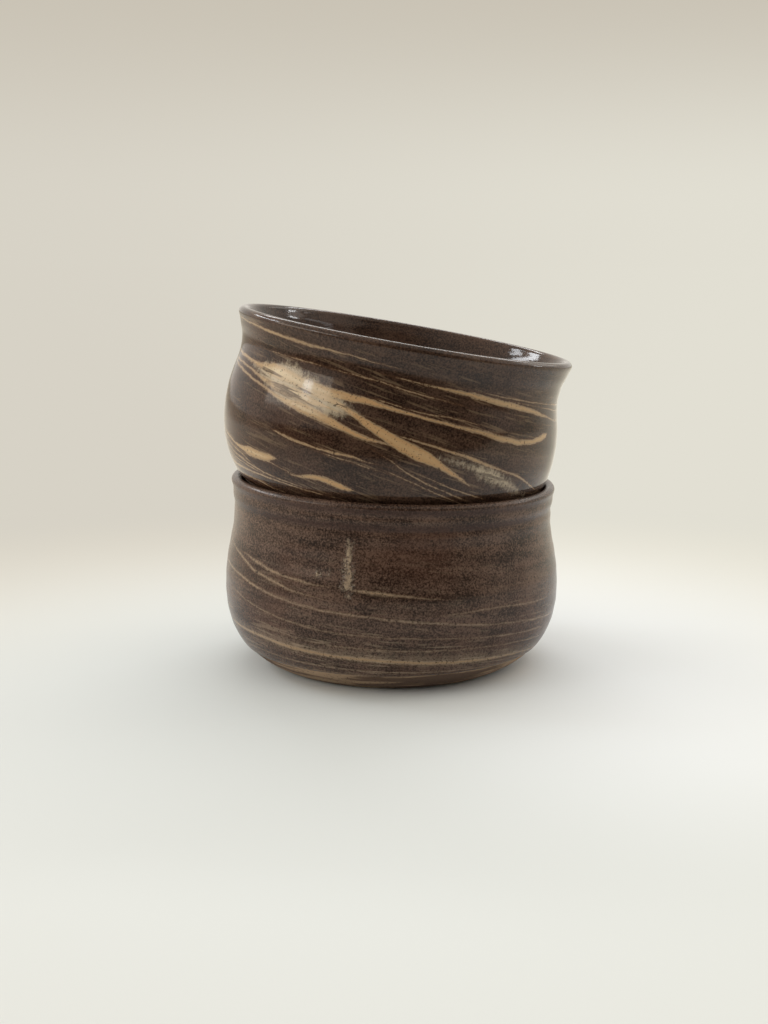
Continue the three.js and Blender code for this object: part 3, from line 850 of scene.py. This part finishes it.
# What differs between the lower cup's satin glaze and the upper cup's gloss glaze, in that order
LOOKS = {
    "kind": ("satin", "gloss"), "streaks": (LOWER_STREAKS, UPPER_STREAKS),
    "clouds": (LOWER_CLOUDS, UPPER_CLOUDS), "pools": (LOWER_DIP_SHADES, []), "runs": (LOWER_RUNS, []),
    "sway": (5.0, 9.0), "red": (0.34, 0.42), "line_tone": (1.5, 1.1), "broad_tone": (1.4, 1.5),
    "grain_tone": (3.1, 3.0), "hair": (0.4, 0.34), "stray_hair": (0.7, 0.4), "shade": (0.12, 0.22),
    "ragged": (0.5, 0.75), "crumbly": (0.9, 0.75), "softness": (0.4, 0.14),
    "rust_width": (0.4, 0.5), "rust": (0.3, 0.4), "pale": (0.62, 0.94), "golden": (0.0, 0.75),
    "cloud": (0.12, 0.52), "over_smear": (0.0, 0.38), "gaps": (0.0, 0.8), "hair_top": (34.0, 80.0),
    "large_specks": (0.1, 0.08), "small_specks": (0.16, 0.13), "speck_depth": (0.8, 0.7),
    "grain_size": (0.6, 0.9), "grain_height": (0.035, 0.02),
    "roughness": (0.24, 0.09), "roughness_spread": (0.12, 0.06), "specular": (0.34, 0.43),
}
SATIN, GLOSS = (
    SimpleNamespace(**{name: values[column] for name, values in LOOKS.items()}) for column in (0, 1)
)


def wall_groups():
    """The node groups that the materials share, made once."""
    makers = {
        "place": ("Place on the Wall", make_wall_place),
        "specks": ("Specks", make_specks),
        "edges": ("Streak Edges", make_edges),
        "skin": ("Glaze Skin", make_glaze_skin),
        "run": ("Run of Glaze", make_run),
    }
    return {key: bpy.data.node_groups.get(name) or make() for key, (name, make) in makers.items()}


# Stage

def make_cloth(colours):
    """A plain cloth that lies flat under the cups. Away from them, what the camera sees of it fades to the
    backdrop's colour, and its side in front of the cups is painted shade to all rays but the camera's."""
    half_width, steps = 6.0, 41
    along = np.linspace(-half_width, half_width, steps)
    across, back = np.meshgrid(along, along)
    points = np.stack([across.ravel(), back.ravel(), np.zeros(across.size)], axis=-1)
    row, column = np.meshgrid(np.arange(steps - 1), np.arange(steps - 1), indexing="ij")
    first = row * steps + column
    quads = np.stack([first, first + 1, first + 1 + steps, first + steps], axis=-1).reshape(-1, 4)
    mesh = bpy.data.meshes.new("cloth")
    mesh.from_pydata(points.tolist(), [], quads.tolist())
    cloth = placed("cloth", mesh)

    material, tree, shader = new_material("pale_cloth")
    here = on_the_piece(tree)
    away = put(tree, "VectorMath", operation="LENGTH")
    feed(tree, away.inputs[0], here)
    parts = put(tree, "SeparateXYZ")
    feed(tree, parts.inputs[0], here)
    seen = put(tree, "LightPath").outputs["Is Camera Ray"]
    x, y = parts.outputs[0], parts.outputs[1]
    to_the_right = fade(tree, reckon(tree, "DIVIDE", x, away.outputs["Value"]), -0.3, 0.3)
    backdrop = blend(tree, to_the_right, colours.backdrop, colours.backdrop_right)
    near_right = product(tree, fade(tree, x, -0.02, 0.08), fade(tree, y, -0.17, -0.07))
    cloth_colour = blend(tree, near_right, colours.cloth, colours.cloth_right)
    behind = scaled(tree, y, 0.5, away.outputs["Value"])
    far = fade(tree, behind, 0.04, 0.38)
    far_and_seen = product(tree, far, seen)
    # Painted shade: the cloth in front is dark to all rays but the camera's
    in_front = product(tree, fade(tree, y, -0.14, -0.3), reckon(tree, "SUBTRACT", 1.0, seen))
    plain = blend(tree, far, cloth_colour, backdrop)
    plain = blend(tree, in_front, plain, colours.cloth_front_shade)
    feed(tree, shader.inputs["Base Color"], blend(tree, far_and_seen, plain, BLACK))
    feed(tree, shader.inputs["Emission Color"], blend(tree, far_and_seen, BLACK, backdrop))
    for name, value in (("Emission Strength", 1.0), ("Roughness", 0.9), ("Specular IOR Level", 0.0)):
        shader.inputs[name].default_value = value
    mesh.materials.append(material)


def make_lamp(name, azimuth, elevation, width, height, brightness, tint=(1, 1, 1)):
    """A soft rectangular lamp that the camera doesn't see, 1.1 m from the cups and facing them. Its azimuth
    runs from the front towards +X, in degrees. Its power is pi times its area times its brightness."""
    away, aimed_height = 1.1, 0.07
    around, up = math.radians(azimuth), math.radians(elevation)
    data = bpy.data.lights.new(name, "AREA")
    data.shape = "RECTANGLE"
    data.size, data.size_y = width, height
    data.energy = math.pi * width * height * brightness
    data.color = tint
    lamp = placed(name, data)
    level = away * math.cos(up)
    lamp.location = (level * math.sin(around), -level * math.cos(around), aimed_height + away * math.sin(up))
    lamp.rotation_euler = (math.pi / 2 - up, 0, around)
    lamp.visible_camera = False


def make_light(colours):
    """Soft daylight that is weaker from the side of the camera, with the plain backdrop that the camera
    itself sees there, and windows whose reflections show in the glaze."""
    world = bpy.data.worlds.new("daylight")
    world.use_nodes = True
    tree = world.node_tree
    sky = tree.nodes["Background"]
    parts = put(tree, "SeparateXYZ")
    feed(tree, parts.inputs[0], put(tree, "TexCoord").outputs["Generated"])
    x, y, z = parts.outputs
    from_behind = scaled(tree, x, -0.25, y)
    from_behind = scaled(tree, z, 0.25, from_behind)
    first_rise = fade(tree, from_behind, -0.85, -0.4, 0.06, 0.66)
    level = reckon(tree, "ADD", first_rise, fade(tree, from_behind, -0.3, 0.6, 0.0, 0.26))
    light = blend(tree, level, BLACK, (1.0, 0.95, 0.86))
    seen = put(tree, "LightPath").outputs["Is Camera Ray"]
    backdrop = blend(tree, fade(tree, x, -0.3, 0.3), colours.backdrop, colours.backdrop_right)
    backdrop = blend(tree, fade(tree, z, 0.02, 0.17), backdrop, colours.backdrop_top)
    feed(tree, sky.inputs["Color"], blend(tree, seen, light, backdrop))
    bpy.context.scene.world = world
    make_lamp("window_left", -62, 24, 0.12, 0.09, 10, (0.85, 0.93, 1.0))
    make_lamp("curtain_left", -70, 20, 1.0, 0.4, 2.55, (1.0, 0.91, 0.8))
    make_lamp("window_behind", -116, 29, 0.6, 0.08, 13, (0.92, 0.96, 1.0))
    make_lamp("window_behind_high", -107, 36, 0.22, 0.06, 13, (0.92, 0.96, 1.0))
    make_lamp("window_right", 105, 15, 0.17, 0.04, 16)
    make_lamp("window_right_low", 80, 18, 0.5, 0.05, 2.6)
    make_lamp("curtain_right", 118, 27, 0.8, 0.4, 1.25, (1.0, 0.95, 0.88))
    make_lamp("wall_right", 84, 42, 1.4, 0.8, 0.38, (1.0, 0.9, 0.78))
    make_lamp("sky_behind", 172, 42, 1.1, 0.12, 8)


def make_camera():
    """The photograph's view, from in front of the lower cup's axis, looking a little down."""
    in_front, height = 0.435, 0.1246
    down, turned = 0.1835, 0.005
    data = bpy.data.cameras.new("camera")
    data.lens = 25
    data.sensor_width = 17.3
    camera = placed("camera", data)
    camera.location = (LOWER_AXIS_X, -in_front, height)
    camera.rotation_euler = (math.pi / 2 - down, 0, turned)
    bpy.context.scene.camera = camera


def make_whole_cup(scene, which, look, place):
    """A cup with both its materials. place carries points from the cup's own frame to the row frame."""
    groups, colours = wall_groups(), scene.clay_colours
    clay = make_bare_clay(f"bare_clay_{which}", groups, colours)
    glaze = make_marbled(look, groups, colours)
    make_cup(which, getattr(scene, f"{which}_cup_sizes"), scene.pair_sizes, place, clay, glaze)


class CUPS_OT_stage(bpy.types.Operator):
    """Lays the cloth, lights it and places the camera"""

    bl_idname = "cups.stage"
    bl_label = "Set the Stage"

    def execute(self, context):
        make_cloth(context.scene.clay_colours)
        make_light(context.scene.clay_colours)
        make_camera()
        context.scene.view_settings.view_transform = "Standard"
        return {"FINISHED"}


class CUPS_OT_lower(bpy.types.Operator):
    """Makes the lower cup's clay and its satin glaze"""

    bl_idname = "cups.lower"
    bl_label = "Make the Lower Cup"

    def execute(self, context):
        make_whole_cup(context.scene, "lower", SATIN, lambda points: points + np.array([LOWER_AXIS_X, 0, 0]))
        return {"FINISHED"}


class CUPS_OT_upper(bpy.types.Operator):
    """Makes the upper cup's clay and its gloss glaze, leaning in the lower cup's mouth"""

    bl_idname = "cups.upper"
    bl_label = "Make the Upper Cup"

    def execute(self, context):
        pair = context.scene.pair_sizes
        make_whole_cup(context.scene, "upper", GLOSS, lambda points: seated(points, pair))
        return {"FINISHED"}


class CUPS_PT_panel(bpy.types.Panel):
    """Sizes and colours of the cups, and the steps that make them"""

    bl_label = "Marbled Cups"
    bl_space_type = "VIEW_3D"
    bl_region_type = "UI"
    bl_category = "Cups"

    def draw(self, context):
        layout, scene = self.layout, context.scene
        for operator in (CUPS_OT_stage, CUPS_OT_lower, CUPS_OT_upper):
            layout.operator(operator.bl_idname)
        for name, cls in PROPERTIES.items():
            box = layout.box()
            for field in cls.__annotations__:
                box.prop(getattr(scene, name), field)


PROPERTIES = {
    "lower_cup_sizes": LowerCupSizes,
    "upper_cup_sizes": UpperCupSizes,
    "pair_sizes": PairSizes,
    "clay_colours": ClayColours,
}
CLASSES = (*PROPERTIES.values(), CUPS_OT_stage, CUPS_OT_lower, CUPS_OT_upper, CUPS_PT_panel)


def register():
    for cls in CLASSES:
        bpy.utils.register_class(cls)
    for name, cls in PROPERTIES.items():
        setattr(bpy.types.Scene, name, PointerProperty(type=cls))


def unregister():
    for name in PROPERTIES:
        delattr(bpy.types.Scene, name)
    for cls in reversed(CLASSES):
        bpy.utils.unregister_class(cls)


def main():
    register()
    bpy.ops.cups.stage()
    bpy.ops.cups.lower()
    bpy.ops.cups.upper()


if __name__ == "__main__":
    main()
